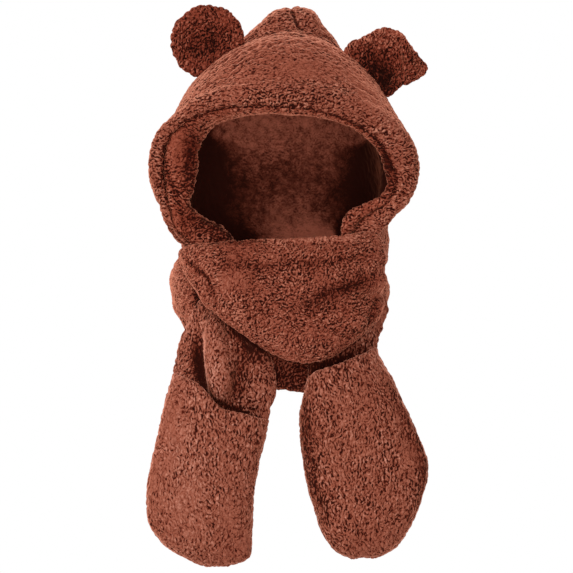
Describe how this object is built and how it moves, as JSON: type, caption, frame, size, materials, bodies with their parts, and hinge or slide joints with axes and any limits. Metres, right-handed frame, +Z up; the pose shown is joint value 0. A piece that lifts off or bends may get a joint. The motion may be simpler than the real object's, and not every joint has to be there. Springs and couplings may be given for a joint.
{
  "type": "animal hood scarf",
  "caption": "Teddy fleece hood with bear ears, joined to a scarf wound round the neck whose hanging tails end in mitten pockets.",
  "frame": {"origin": "the crown of the wearer's head, just under the hood's lining, where the head carries the hood", "axes": "+Z up, the face opening looks along -Y, +X is the viewer's right as seen from the front"},
  "size_m": [0.3094, 0.2812, 0.6184],
  "materials": {
    "hood_fleece": "deep matte teddy fleece, reddish brown",
    "scarf_fleece": "deep matte teddy fleece, reddish brown",
    "lining_plush": "short matte plush, dark brown"
  },
  "bodies": {
    "root": {"hood_left": "hood_fleece", "hood_right": "hood_fleece", "hood_lining": "lining_plush", "face_band": "hood_fleece", "ear_left": "hood_fleece", "ear_right": "hood_fleece", "under_wrap": "scarf_fleece", "front_drape": "scarf_fleece", "tail_left": "scarf_fleece", "tail_right": "scarf_fleece", "mitten_pocket_left": "scarf_fleece", "mitten_pocket_right": "scarf_fleece"}
  },
  "joints": []
}
